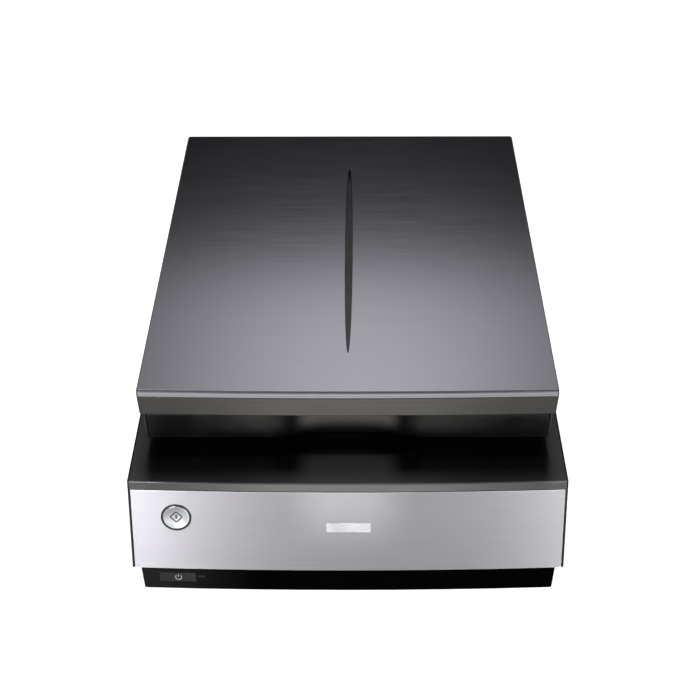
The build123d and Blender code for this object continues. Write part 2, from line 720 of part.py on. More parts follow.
def rod_bushings():
    """The carriage's two bearings on the rod."""
    rings = []
    for y in HUB_PLACES:
        ring = bar_y(ROD_X, span(y, 6), ROD_Z, 6.5)
        rings.append(ring - bar_y(ROD_X, span(y, 8), ROD_Z, ROD_RADIUS + RUNNING))
    return group(rings)


def slide_pads():
    """The low-friction pads over the flat rail."""
    depth = (RAIL_TOP + CLEAR, CARRIAGE_BOTTOM)
    return group([block(span(RAIL_X, 5), span(y, 6), depth) for y in HUB_PLACES])


# ================================================================ hinge
def hinge_sockets():
    """The deep sleeves under the deck that the lid's posts slide in."""
    sockets = []
    well_depth = span(HINGE_Y, POST_HALF_DEPTH + CLEAR)
    for side in (-1, 1):
        x = side * HINGE_X
        sleeve = block(span(x, 13), span(HINGE_Y, 9), (50, DECK_PLATE_BOTTOM))
        well = block(span(x, POST_HALF_WIDTH + CLEAR), well_depth, (POST_BOTTOM - CLEAR, 100))
        sockets.append(sleeve - well)
    return group(sockets)


def hinge_posts():
    """The two uprights that carry the lid and lift with it."""
    posts = []
    for side in (-1, 1):
        x = side * HINGE_X
        post = block(span(x, POST_HALF_WIDTH), span(HINGE_Y, POST_HALF_DEPTH), (POST_BOTTOM, HINGE_Z))
        post += bar_x(span(x, POST_HALF_WIDTH), HINGE_Y, HINGE_Z, POST_HALF_DEPTH)
        posts.append(post - bar_x(span(x, 12), HINGE_Y, HINGE_Z, PIN_RADIUS))
    return group(posts)


def hinge_pins():
    """The pins pressed through the posts."""
    return group([bar_x(span(side * HINGE_X, 14), HINGE_Y, HINGE_Z, PIN_RADIUS) for side in (-1, 1)])


def hinge_brackets():
    """The lid's steel pockets: two ears on each pin, a roof, a front and a foot."""
    brackets = []
    inner = 10.8
    outer = 13.2
    for side in (-1, 1):
        x = side * HINGE_X
        pocket = block(span(x, outer), (225.6, 249), (TRAY_FLOOR, 129.4)) - tail_waste(TAIL_RADIUS - 0.4)
        pocket -= block(span(x, inner), (227.6, 260), (90, 127.4))
        pocket -= bar_x(span(x, 20), HINGE_Y, HINGE_Z, PIN_RADIUS + RUNNING)
        brackets.append(pocket + block(span(x, outer), (214, 227.6), (TRAY_FLOOR, TRAY_FLOOR + 2)))
    return group(brackets)


def tail_waste(radius):
    """What lies outside the lid's rounded tail, below and behind the hinge axis."""
    corner = block((-200, 200), (HINGE_Y, HINGE_Y + 40), (HINGE_Z - 40, HINGE_Z))
    return corner - bar_x((-210, 210), HINGE_Y, HINGE_Z, radius)


# ================================================================ lid: shells
def lid_shell(inset, low, high):
    """The lower lid's drafted body between two heights, drawn in by inset, with its rounded tail."""
    draft = (LID_HALF_MIDDLE - LID_HALF_BOTTOM) / (LIP_BOTTOM - LID_BOTTOM)
    faces = []
    for z in (low, high):
        half_width = LID_HALF_BOTTOM + draft * (z - LID_BOTTOM) - inset
        faces.append(plan(half_width, TRAY_FRONT + inset, BACK_Y - inset, 50000.0, z, 3, 3))
    return loft(faces, ruled=True) - tail_waste(TAIL_RADIUS - inset)


def finger_scoop():
    """The smooth hollow in the lower lid's front wall, deepest over its broad middle."""
    low = LID_BOTTOM - 1
    points = []
    for step in range(-6, 7):
        along = abs(step / 6) ** 1.4
        depth = SCOOP_DEPTH * (1 + math.cos(math.pi * along)) / 2
        points.append((SCOOP_HALF_WIDTH * step / 6, TRAY_FRONT + depth, low))
    curve = Spline(*points, tangents=[(1, 0, 0), (1, 0, 0)])
    ahead = TRAY_FRONT - 5
    corners = [(SCOOP_HALF_WIDTH, ahead, low), (-SCOOP_HALF_WIDTH, ahead, low)]
    edge = Polyline(points[-1], *corners, points[0])
    return prism(make_face(Curve() + [curve, edge]).face(), LIP_BOTTOM - low + 1)


def undercut(inset, thickness):
    """The space under the lid's front wall; thickness is added behind and above it."""
    depth = (TRAY_FRONT - 5, UNDERCUT_Y + inset)
    return block((-160, 160), depth, (LID_BOTTOM - 1, UNDERCUT_TOP + thickness))


def lid_lower_tray():
    """The lower half of the lid, with its window, mat recess, finger grip and hinge notches."""
    tray = lid_shell(0, LID_BOTTOM, LIP_BOTTOM)
    room = lid_shell(WALL, TRAY_FLOOR, LIP_BOTTOM + 1) - undercut(WALL, 1.8)
    behind_scoop = TRAY_FRONT + SCOOP_DEPTH + WALL
    room -= block(span(0, SCOOP_HALF_WIDTH + 2), (TRAY_FRONT, behind_scoop), (LID_BOTTOM, LIP_BOTTOM + 2))
    tray -= room
    tray -= finger_scoop()
    tray -= block(span(0, 100), (WINDOW_FRONT + 3, WINDOW_BACK - 3), (90, TRAY_FLOOR + 1))
    tray -= block(span(0, MAT_HALF_WIDTH + 0.6), (MAT_FRONT - 0.6, MAT_BACK + 0.6), (90, LID_BOTTOM + 1))
    floor = TRAY_FLOOR - 0.5
    for y in (-181, 171):
        tray += block(span(LAMP_ROD_X, 4.5), span(y, 3), (floor, LAMP_ROD_Z + 4.5))
    tray -= bar_y(LAMP_ROD_X, (-186, 176), LAMP_ROD_Z, LAMP_ROD_RADIUS)
    tray += block((119, 127), (-170, 168), (floor, LAMP_RAIL_TOP))
    tray += disc(LAMP_BELT_X, LAMP_IDLER_Y, (floor, 105.4), 3)
    tray += disc(LAMP_BELT_X, LAMP_IDLER_Y, (floor, 113.5), LAMP_AXLE)
    for x, y in LAMP_MOTOR_POSTS:
        tray += disc(x, y, (floor, LAMP_MOTOR_PLATE), 2.5)
    tray -= undercut(0, 0)
    tray -= side_notches(13.5, (225.3, 260), (90, 131))
    return tray - bar_y(GLAND_X, (245, 256), GLAND_Z, 5)


def lid_frame():
    """The lid's upper frame: the front fascia, its finger lip and the side and back walls."""
    low = plan(LID_HALF_MIDDLE, LID_FRONT_LIP, BACK_Y, LID_ARC, LIP_BOTTOM, 1.5, 3)
    high = plan(LID_HALF_TOP - 0.05, LID_FRONT, BACK_Y, LID_ARC, RIM_BOTTOM - 0.2, 1.5, 3)
    frame = loft([low, high], ruled=True)
    frame = fillet(frame.faces().sort_by(Axis.Z)[0].edges(), 0.5)
    room = plan(LID_HALF_MIDDLE - 3, LID_FRONT + 4.5, BACK_Y - 3, LID_ARC, LIP_BOTTOM + WALL, 1, 2)
    frame -= prism(room, 20)
    return frame - block(span(0, 142.5), (-190, 248.5), (130, 140))


def slit(grow, z, height):
    """The long lens-shaped slit's volume, widened by grow."""
    return Pos(0, SLIT_Y, z) * prism(Ellipse(SLIT_HALF_WIDTH + grow, SLIT_HALF_LENGTH + grow).face(), height)


def lid_top_panel():
    """The metal top: a flat sheet with a turned-down rim, a fine rebate and the long slit."""
    outer = plan(LID_HALF_TOP, LID_FRONT, BACK_Y, LID_ARC, RIM_BOTTOM, 1.5, 3)
    panel = prism(outer, HEIGHT - RIM_BOTTOM)
    inset = 0.6
    upper = plan(LID_HALF_TOP - inset, LID_FRONT + inset, BACK_Y - inset, LID_ARC, REBATE_Z, 1, 2.5)
    ring = prism(plan(160, LID_FRONT - 9, BACK_Y + 9, LID_ARC, REBATE_Z), 5) - prism(upper, 6)
    panel -= ring
    room = plan(LID_HALF_TOP - 2, LID_FRONT + 2, BACK_Y - 2, LID_ARC, RIM_BOTTOM, 1, 2)
    panel -= prism(room, HEIGHT - WALL - RIM_BOTTOM)
    return panel - slit(0, RIM_BOTTOM, 10)


def lid_slot_inlay():
    """The glossy insert under the slit, with the groove's floor."""
    top = HEIGHT - WALL
    return slit(5, top - 3, 3) - slit(0, top - 2, 4)


def lid_window():
    """The clear window over the tray's opening."""
    return block(span(0, WINDOW_HALF_WIDTH), (WINDOW_FRONT, WINDOW_BACK), (TRAY_FLOOR, TRAY_FLOOR + 3))


def document_mat():
    """The white mat that presses originals on the glass; it slides out of the lid."""
    mat = block(span(0, MAT_HALF_WIDTH), (MAT_FRONT, MAT_BACK), (DECK_PLATE_BOTTOM + CLEAR, LID_BOTTOM + 1))
    return fillet(mat.edges().filter_by(Axis.Z), 2)


def lid_bumpers():
    """Four pads under the lid that meet the deck."""
    return group([disc(x, y, (LID_BOTTOM - 0.8, LID_BOTTOM), 5) for x in (-128, 128) for y in (-168, 190)])


def cable_gland():
    """The collar in the lid's back wall for the lamp unit's lead."""
    collar = bar_y(GLAND_X, (246, 251.3), GLAND_Z, 5) + bar_y(GLAND_X, (245, 248.8), GLAND_Z, 6.5)
    return collar - bar_y(GLAND_X, (240, 256), GLAND_Z, 2.6)


# ================================================================ lid: lamp drive
def lamp_rod():
    """The rod that the lamp carriage rides on."""
    return bar_y(LAMP_ROD_X, (-184, 174), LAMP_ROD_Z, LAMP_ROD_RADIUS)


def lamp_motor():
    """The lid's stepper motor on its plate, with its shaft hanging down."""
    plate = block((-136, -102), (178, 206), (LAMP_MOTOR_PLATE, LAMP_MOTOR_PLATE + 1.2))
    can = disc(LAMP_BELT_X, LAMP_DRIVE_Y, (LAMP_MOTOR_PLATE + 1, 131), 13)
    return plate + can + disc(LAMP_BELT_X, LAMP_DRIVE_Y, (104.6, LAMP_MOTOR_PLATE + 1), LAMP_AXLE)


def lamp_pulley(y):
    """A pulley of the lamp's belt."""
    return pulley(LAMP_BELT_X, y, LAMP_BELT_BOTTOM, LAMP_BELT_WIDTH, LAMP_PULLEY_RADIUS, LAMP_AXLE + RUNNING)


def lamp_belt():
    """The belt that pulls the lamp carriage."""
    return belt_loop(
        LAMP_BELT_X, (LAMP_IDLER_Y, LAMP_DRIVE_Y), LAMP_PULLEY_RADIUS, LAMP_BELT_BOTTOM, LAMP_BELT_WIDTH
    )


def lamp_housing():
    """The lamp carriage: a hood open below, a hub on the rod, a belt jaw and a shoe on the ledge."""
    y = LAMP_HOME_Y
    hood = block(span(0, 106), span(y, 18), (104, 124)) - block(span(0, 104), span(y, 16), (100, 122))
    hood += block((-134, -105), span(y, 12), (113.5, 123.5)) + bar_y(LAMP_ROD_X, span(y, 12), LAMP_ROD_Z, 6)
    hood += block((105, 127), span(y, 8), (LAMP_RAIL_TOP + CLEAR, 112))
    hood -= bar_y(LAMP_ROD_X, span(y, 14), LAMP_ROD_Z, LAMP_ROD_RADIUS + RUNNING)
    run = LAMP_BELT_X + LAMP_PULLEY_RADIUS + CLEAR + BELT_THICKNESS / 2
    hood += block(span(run, 3.2), span(y, 6), (LAMP_BELT_BOTTOM - 1.3, 114))
    z = (LAMP_BELT_BOTTOM - CLEAR, LAMP_BELT_BOTTOM + LAMP_BELT_WIDTH + CLEAR)
    return hood - block(span(run, BELT_THICKNESS / 2 + CLEAR), span(y, 8), z)


def lamp_led_bar():
    """The row of white lamps under the hood."""
    return block(span(0, 103), span(LAMP_HOME_Y, 7), (119.5, 122))


# ================================================================ build
NODES = {
    "lower_case": lower_case,
    "base_pan": base_pan,
    "upper_case": upper_case,
    "front_panel": front_panel,
    "start_button_bezel": start_button_bezel,
    "start_button": start_button,
    "power_button": power_button,
    "status_light": status_light,
    "badge_plate": badge_plate,
    "button_board": button_board,
    "transport_lock": transport_lock,
    "document_glass": document_glass,
    "calibration_strip": calibration_strip,
    "rubber_feet": rubber_feet,
    "case_screws": case_screws,
    "power_inlet": power_inlet,
    "usb_port": usb_port,
    "option_connector": option_connector,
    "main_board": main_board,
    "power_supply_board": power_supply_board,
    "guide_rod": guide_rod,
    "rod_clips": rod_clips,
    "slide_rail": slide_rail,
    "drive_motor": drive_motor,
    "motor_bracket": motor_bracket,
    "motor_pinion": motor_pinion,
    "drive_gear": drive_gear,
    "idler_pulley": idler_pulley,
    "pulley_axles": pulley_axles,
    "idler_bracket": idler_bracket,
    "tension_spring": tension_spring,
    "timing_belt": timing_belt,
    "carriage_housing": carriage_housing,
    "carriage_cover": carriage_cover,
    "carriage_lamps": carriage_lamps,
    "carriage_mirrors": carriage_mirrors,
    "lens_carrier": lens_carrier,
    "scan_lenses": scan_lenses,
    "sensor_board": sensor_board,
    "rod_bushings": rod_bushings,
    "slide_pads": slide_pads,
    "hinge_sockets": hinge_sockets,
    "hinge_posts": hinge_posts,
    "hinge_pins": hinge_pins,
    "hinge_brackets": hinge_brackets,
    "lid_lower_tray": lid_lower_tray,
    "lid_frame": lid_frame,
    "lid_top_panel": lid_top_panel,
    "lid_slot_inlay": lid_slot_inlay,
    "lid_window": lid_window,
    "document_mat": document_mat,
    "lid_bumpers": lid_bumpers,
    "cable_gland": cable_gland,
    "lamp_rod": lamp_rod,
    "lamp_motor": lamp_motor,
    "lamp_drive_pulley": lambda: lamp_pulley(LAMP_DRIVE_Y),
    "lamp_idler_pulley": lambda: lamp_pulley(LAMP_IDLER_Y),
    "lamp_belt": lamp_belt,
    "lamp_housing": lamp_housing,
    "lamp_led_bar": lamp_led_bar,
}

os.makedirs("parts", exist_ok=True)
for name, make in NODES.items():
    export_step(make(), f"parts/{name}.step")
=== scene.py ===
import json
import math

import bpy
from mathutils import Matrix, Vector

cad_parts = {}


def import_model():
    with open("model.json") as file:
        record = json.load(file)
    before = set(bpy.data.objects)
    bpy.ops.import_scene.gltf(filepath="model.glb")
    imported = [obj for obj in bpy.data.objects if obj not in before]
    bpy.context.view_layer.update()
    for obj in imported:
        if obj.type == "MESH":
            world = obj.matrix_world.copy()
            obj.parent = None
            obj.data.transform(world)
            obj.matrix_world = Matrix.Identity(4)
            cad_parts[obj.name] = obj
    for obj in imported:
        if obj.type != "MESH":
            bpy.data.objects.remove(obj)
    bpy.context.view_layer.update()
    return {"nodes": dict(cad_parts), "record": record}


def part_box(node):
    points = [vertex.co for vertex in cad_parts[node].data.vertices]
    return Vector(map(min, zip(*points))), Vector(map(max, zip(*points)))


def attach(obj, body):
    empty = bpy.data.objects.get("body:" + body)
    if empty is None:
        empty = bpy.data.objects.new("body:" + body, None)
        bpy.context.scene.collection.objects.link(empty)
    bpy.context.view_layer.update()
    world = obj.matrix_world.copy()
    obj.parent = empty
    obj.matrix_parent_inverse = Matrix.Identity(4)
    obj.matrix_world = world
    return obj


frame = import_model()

# The looks of a flatbed photo scanner, in metres. The CAD pieces keep their shapes and get
# node materials; the two thin printed marks are built here and ride on CAD bodies.

MM = 0.001

# ---------------------------------------------------------------- places taken from the CAD
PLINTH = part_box("base_pan")
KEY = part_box("power_button")
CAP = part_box("start_button")
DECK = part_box("upper_case")
LID_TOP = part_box("lid_top_panel")[1].z
LID_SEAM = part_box("lid_top_panel")[0].z
LID_HALF_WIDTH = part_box("lid_top_panel")[1].x

HALF_WIDTH = DECK[1].x
FRONT_Y = DECK[0].y
STRIP_BOTTOM = 88.4 * MM
DECK_TOP = 95.1 * MM
LID_LEAN = -0.094  # how fast the fascia narrows below the lid's seam
CAP_X = (CAP[0].x + CAP[1].x) / 2
CAP_Z = (CAP[0].z + CAP[1].z) / 2
CAP_DISH = 30 * MM  # radius of the hollow in the start button's face
REBATE = 151.2 * MM  # the lid's fine rebate starts at this height
PLINTH_TOP = 22.5 * MM
BOW = 4.0 * MM
BASE_ARC = (HALF_WIDTH**2 + BOW**2) / (2 * BOW)
MAIN_BOARD_FACE = 31.7 * MM  # the boards' parts stand above these heights
SUPPLY_BOARD_FACE = 19.7 * MM
SWEEP_EDGE = 25.8  # the bright sweep behind starts at this many degrees above the horizon


def bow_y(x, front=FRONT_Y):
    """Where the base's bowed front lies at x, with its foremost point at front."""
    return front + BASE_ARC - math.sqrt(BASE_ARC**2 - x**2)


# ================================================================ materials
class Graph:
    """A node tree and the small sums that materials and the world are made of."""

    def __init__(self, tree):
        self.tree = tree

    def node(self, kind, inputs=None, **settings):
        made = self.tree.nodes.new("ShaderNode" + kind)
        for key, value in settings.items():
            setattr(made, key, value)
        for key, value in (inputs or {}).items():
            if isinstance(value, bpy.types.NodeSocket):
                self.tree.links.new(value, made.inputs[key])
            else:
                made.inputs[key].default_value = value
        return made

    def fade(self, value, start, end, low=0.0, high=1.0):
        """A smooth change from low at start to high at end."""
        inputs = {0: value, 1: start, 2: end, 3: low, 4: high}
        return self.node("MapRange", inputs, interpolation_type="SMOOTHSTEP").outputs[0]

    def absolute(self, value):
        return self.node("Math", {0: value}, operation="ABSOLUTE").outputs[0]

    def times(self, a, b):
        return self.node("Math", {0: a, 1: b}, operation="MULTIPLY").outputs[0]

    def plus(self, a, b):
        return self.node("Math", {0: a, 1: b}, operation="ADD").outputs[0]


class Finish(Graph):
    """A node material: constants on the shader itself, and textures in millimetres that vary it."""

    def __init__(self, name, colour, roughness, **sockets):
        self.material = bpy.data.materials.new(name)
        self.material.use_nodes = True
        super().__init__(self.material.node_tree)
        self.shader = self.tree.nodes["Principled BSDF"]
        self.set("Base Color", (*colour, 1.0))
        self.set("Roughness", roughness)
        for key, value in sockets.items():
            self.set(key.replace("_", " "), value)
        self.coords = self.node("TexCoord").outputs["Object"]
        self.normal = None

    def set(self, socket, value):
        self.shader.inputs[socket].default_value = value

    def scaled(self, size):
        """Object coordinates divided by a size in millimetres along X, Y and Z."""
        scale = [1 / (s * MM) for s in size]
        return self.node("Mapping", {"Vector": self.coords, "Scale": scale}).outputs[0]

    def grain(self, size, detail=2.0, rough=0.5):
        """Noise from 0 to 1 with features of that size in millimetres along X, Y and Z."""
        inputs = {"Vector": self.scaled(size), "Scale": 1.0, "Detail": detail, "Roughness": rough}
        return self.node("TexNoise", inputs).outputs[0]

    def cells(self, size, feature="F1"):
        """Distance to the middle of each random cell."""
        inputs = {"Vector": self.scaled(size), "Scale": 1.0}
        return self.node("TexVoronoi", inputs, feature=feature).outputs["Distance"]

    def axis(self, name):
        """One object coordinate in metres."""
        return self.node("SeparateXYZ", {0: self.coords}).outputs[name]

    def facing(self, name):
        """One part of the surface's own direction, from -1 to 1."""
        normal = self.node("NewGeometry").outputs["Normal"]
        local = self.node(
            "VectorTransform", {0: normal}, vector_type="NORMAL", convert_from="WORLD", convert_to="OBJECT"
        )
        return self.node("SeparateXYZ", {0: local.outputs[0]}).outputs[name]

    def across(self):
        """The distance from the scanner's middle plane in metres."""
        return self.absolute(self.axis("X"))

    def rim(self, half_width, width):
        """1 within so many millimetres of the left and right ends and 0 between them."""
        return self.fade(self.across(), half_width - (width + 0.4) * MM, half_width - width * MM)

    def shine(self, outline, level):
        """The specular level, with none on a dull outline and some again on the walls beside it."""
        walls = self.times(self.sideways(0.85, 0.97), 0.3)
        return self.plus(self.times(self.fade(outline, 0.0, 1.0, 1.0, 0.0), level), walls)

    def sideways(self, start, end):
        """1 on faces that look to the left or right and 0 on those that look ahead."""
        return self.fade(self.absolute(self.facing("X")), start, end)

    def upright(self, steep=0.35, flat=0.6):
        """1 on upright faces and 0 on level ones."""
        return self.fade(self.absolute(self.facing("Z")), flat, steep)

    def blend(self, factor, a, b):
        """Colour a where factor is 0 and b where it is 1; each is a colour or a colour socket."""
        mix = self.node("Mix", data_type="RGBA")
        for index, value in ((0, factor), (6, a), (7, b)):
            if isinstance(value, bpy.types.NodeSocket):
                self.tree.links.new(value, mix.inputs[index])
            else:
                mix.inputs[index].default_value = (*value, 1.0)
        return mix.outputs[2]

    def feed(self, socket, value):
        self.tree.links.new(value, self.shader.inputs[socket])

    def over(self, factor, colour):
        """Lay one more colour over the base colour so far."""
        so_far = self.shader.inputs["Base Color"].links[0].from_socket
        self.feed("Base Color", self.blend(factor, so_far, colour))

    def bump(self, height, depth, strength=1.0):
        """Relief of so many millimetres, on top of any relief so far."""
        inputs = {"Height": height, "Distance": depth * MM, "Strength": strength}
        if self.normal:
            inputs["Normal"] = self.normal
        self.normal = self.node("Bump", inputs).outputs[0]

    def soften(self, radius):
        """Edges shaded as if rounded by a radius in millimetres."""
        self.normal = self.node("Bevel", {"Radius": radius * MM}, samples=6).outputs[0]

    def edges(self, radius):
        """1 along sharp edges and 0 on open faces, within a radius in millimetres."""
        round_normal = self.node("Bevel", {"Radius": radius * MM}, samples=4).outputs[0]
        true_normal = self.node("NewGeometry").outputs["Normal"]
        inputs = {0: round_normal, 1: true_normal}
        along = self.node("VectorMath", inputs, operation="DOT_PRODUCT").outputs["Value"]
        return self.fade(along, 0.99, 0.8)

    def done(self):
        if self.normal:
            self.feed("Normal", self.normal)
        return self.material


def smudges(m, low, high, size=60.0):
    """Handling marks: broad soft patches crossed by fine wipe lines, in the roughness."""
    patches = m.grain((size, size, size), 4.0, 0.6)
    wipes = m.grain((size / 2, size / 60, size / 2), 3.0, 0.6)
    m.feed("Roughness", m.fade(m.plus(m.times(patches, 0.7), m.times(wipes, 0.3)), 0.3, 0.7, low, high))


def moulded(name, colour, roughness, grain_size=0.5, depth=0.02, wear_and_sheen=1.5, **sockets):
    """Moulded plastic: spark-eroded grain, faint flow variation and edges rubbed lighter."""
    m = Finish(name, colour, roughness, **sockets)
    m.soften(0.3)
    fine = m.grain((grain_size, grain_size, grain_size), 3.0, 0.6)
    broad = m.grain((35, 35, 35), 3.0)
    light = tuple(min(1.0, c * wear_and_sheen) for c in colour)
    flow = m.blend(m.fade(broad, 0.3, 0.7, 0.0, 0.35), colour, light)
    m.feed("Base Color", m.blend(m.times(m.edges(0.35), 0.5), flow, light))
    m.feed("Roughness", m.fade(broad, 0.25, 0.75, roughness - 0.06, roughness + 0.08))
    m.bump(fine, depth)
    return m


def dark_reflection_outline(m, outline, metallic, level=0.5):
    """Painted dark reflection: a dull black outline along the left and right edges, in place of the dark
    surroundings their rounded edges mirror, on metallic paint.
    """
    m.over(outline, (0.002, 0.002, 0.0022))
    m.feed("Metallic", m.fade(outline, 0.0, 1.0, metallic, 0.0))
    m.feed("Specular IOR Level", m.shine(outline, level))


def lid_metal():
    """Satin metallic paint on the lid's top, finely brushed across, with a rougher rim; painted shade
    darkens the upright rim, a band below the rebate, the rebate itself, the seam and a line above it, and a
    painted dark reflection outlines its ends.
    """
    m = Finish("lid_metal", (0.36, 0.355, 0.41), 0.12, Metallic=1.0)
    m.soften(0.3)
    streaks = m.grain((70, 0.7, 70), 3.0, 0.65)
    hair = m.grain((18, 0.16, 18), 2.0)
    flakes = m.grain((0.12, 0.12, 0.12), 1.0)
    side = m.upright()
    level = m.fade(side, 0.0, 1.0, 1.0, 0.0)
    height = m.axis("Z")
    shoulder = m.times(m.fade(height, REBATE - 1.2 * MM, REBATE - 0.8 * MM), side)
    low = m.fade(height, LID_SEAM + 0.2 * MM, LID_SEAM + 0.6 * MM, 1.0, 0.0)
    crease = m.absolute(m.plus(height, -LID_SEAM - 1.6 * MM))
    below_top = m.fade(height, LID_TOP - 0.1 * MM, LID_TOP - 0.04 * MM, 1.0, 0.0)
    rebate = m.times(m.fade(height, REBATE - 0.1 * MM, REBATE - 0.02 * MM), below_top)
    m.feed("Base Color", m.blend(m.fade(streaks, 0.25, 0.75), (0.32, 0.316, 0.362), (0.366, 0.362, 0.408)))
    m.over(m.fade(flakes, 0.6, 0.75, 0.0, 0.1), (0.62, 0.62, 0.68))
    # Painted shade: upright faces are coloured darker than the top, standing in for the less light they
    # mirror.
    m.over(side, (0.225, 0.221, 0.235))
    # Painted shade: a dark band at the top of the rim, just below the rebate.
    m.over(shoulder, (0.10, 0.098, 0.105))
    # Painted shade along the seam at the foot of the rim, and a fainter painted shade line just above it.
    m.over(low, (0.05, 0.05, 0.052))
    m.over(m.fade(crease, 0.2 * MM, 0.5 * MM, 0.4, 0.0), (0.10, 0.098, 0.105))
    # Painted dark reflection outlining the left and right ends.
    dark_reflection_outline(m, m.rim(LID_HALF_WIDTH, 0.7), 1.0)
    # Painted shadow: the rebate band up to the top face is coloured dark as a shadow gap.
    m.over(rebate, (0.05, 0.05, 0.052))
    brushed = m.times(m.plus(m.times(streaks, 0.6), m.times(hair, 0.4)), level)
    top = m.fade(brushed, 0.3, 0.7, 0.105, 0.145)
    m.feed("Roughness", m.plus(m.plus(top, m.times(side, 0.18)), m.times(rebate, 0.3)))
    m.bump(m.times(hair, level), 0.0004)
    return m.done()


def lid_grey():
    """Semi-gloss dark grey paint on the lid's front fascia, with painted shade darkening its ends and along
    the seam, painted highlights on its edges and a painted dark reflection outlining its ends.
    """
    m = Finish("lid_grey", (0.06, 0.058, 0.055), 0.24, Metallic=0.8)
    m.soften(0.5)
    streaks = m.grain((80, 80, 0.8), 3.0, 0.6)
    flakes = m.grain((0.15, 0.15, 0.15), 1.0)
    height = m.axis("Z")
    seam = m.fade(height, LID_SEAM - 0.8 * MM, LID_SEAM - 0.3 * MM)
    lean = m.times(m.plus(height, -LID_SEAM), LID_LEAN)
    outline = m.fade(m.plus(m.across(), lean), LID_HALF_WIDTH - 1.1 * MM, LID_HALF_WIDTH - 0.7 * MM)
    m.feed("Base Color", m.blend(m.fade(streaks, 0.3, 0.7), (0.048, 0.0465, 0.0435), (0.060, 0.058, 0.055)))
    m.over(m.fade(flakes, 0.62, 0.75, 0.0, 0.1), (0.2, 0.2, 0.19))
    # Painted shade: darker towards the ends.
    m.over(m.fade(m.across(), 0.04, 0.13, 0.0, 0.42), (0.018, 0.017, 0.015))
    # Painted highlight: lighter along the edges.
    m.over(m.times(m.edges(0.4), 0.5), (0.14, 0.14, 0.135))
    # Painted shade along the seam at the top of the fascia.
    m.over(m.times(seam, 0.5), (0.01, 0.01, 0.01))
    # Painted dark reflection outlining the ends, following their lean.
    dark_reflection_outline(m, outline, 0.8)
    smudges(m, 0.2, 0.28)
    m.bump(m.grain((0.4, 0.4, 0.4), 2.0), 0.004)
    return m.done()


def deck_black():
    """Glossy black deck with painted sheen towards its front edge, in the middle behind the lid and near its
    ends, and painted dark reflection at the very ends; its front strip is metallic grey, with painted shade
    towards its ends.
    """
    m = Finish("deck_black", (0.003, 0.003, 0.003), 0.12, Specular_IOR_Level=0.4)
    m.soften(0.6)
    height = m.axis("Z")
    ahead = m.axis("Y")
    across = m.across()
    outer = m.rim(HALF_WIDTH, 1.0)
    flow = m.fade(m.grain((50, 50, 50), 3.0), 0.3, 0.7)
    haze_and_sheen = (0.03, 0.029, 0.028)
    centre = m.times(m.fade(ahead, -0.208, -0.216), m.fade(across, 0.022, 0.042, 0.45, 0.0))
    front = m.times(m.fade(ahead, -0.228, -0.252), m.fade(across, 0.03, 0.09, 0.7, 0.35))
    m.feed("Base Color", m.blend(flow, (0.0008, 0.0008, 0.0009), (0.0014, 0.0014, 0.0014)))
    # Painted sheen: lighter in the middle behind the lid, towards the front edge (most in the middle) and
    # near the ends.
    m.over(centre, haze_and_sheen)
    m.over(front, haze_and_sheen)
    m.over(m.fade(across, 0.141, 0.150, 0.0, 0.3), haze_and_sheen)
    # Painted dark reflection: the last millimetre at each end is coloured near black.
    m.over(outer, (0.0008, 0.0008, 0.0009))

    streaks = m.fade(m.grain((60, 60, 0.7), 3.0, 0.6), 0.3, 0.7)
    grey = m.blend(streaks, (0.092, 0.090, 0.090), (0.115, 0.113, 0.112))
    # Painted shade: the strip is darker towards its ends.
    grey = m.blend(m.fade(across, 0.04, 0.13, 0.0, 0.4), grey, (0.03, 0.029, 0.029))
    above = m.fade(height, STRIP_BOTTOM + 0.3 * MM, STRIP_BOTTOM + 0.7 * MM)
    below = m.fade(height, DECK_TOP - 1.0 * MM, DECK_TOP - 0.5 * MM, 1.0, 0.0)
    strip = m.times(m.times(m.upright(0.75, 0.92), above), below)
    strip = m.times(strip, m.fade(outer, 0.0, 1.0, 1.0, 0.0))
    m.over(strip, grey)
    m.feed("Metallic", m.times(strip, 0.9))

    m.feed("Specular IOR Level", m.shine(outer, m.fade(across, 0.125, 0.142, 0.22, 0.4)))
    patches = m.fade(m.grain((45, 0.75, 45), 3.0, 0.6), 0.3, 0.7, 0.1, 0.15)
    m.feed("Roughness", m.plus(patches, m.fade(across, 0.132, 0.146, 0.0, 0.2)))
    m.bump(m.grain((0.6, 0.6, 0.6), 2.0), 0.001)
    return m.done()


def case_black():
    """Glossy black mouldings: the walls and the lower lid, with painted sheen on the finger grip, brightest
    in the middle, and painted shade in bands at the grip's sides.
    """
    m = moulded("case_black", (0.001, 0.001, 0.0011), 0.12, 0.45, 0.0015, 2.0, Specular_IOR_Level=0.4)
    height = m.axis("Z")
    # Painted sheen on the grip, falling off to the sides, with painted shade in bands at its sides.
    grip = m.times(m.fade(m.axis("Y"), -0.186, -0.19), m.fade(height, 104 * MM, 116 * MM))
    from_end = m.absolute(m.plus(m.across(), -0.04))
    grip = m.times(grip, m.fade(from_end, 0.0, 0.013, 0.1, 1.0))
    grip = m.times(grip, m.fade(m.across(), 0.034, 0.046, 1.0, 0.32))
    grip = m.times(grip, m.fade(m.across(), 0.06, 0.12, 1.0, 0.1))
    m.over(grip, (0.032, 0.031, 0.029))
    corner = m.times(m.sideways(0.03, 0.2), m.fade(height, DECK_TOP, DECK_TOP + 1 * MM))
    m.feed("Specular IOR Level", m.fade(corner, 0.0, 1.0, 0.32, 0.04))
    return m.done()


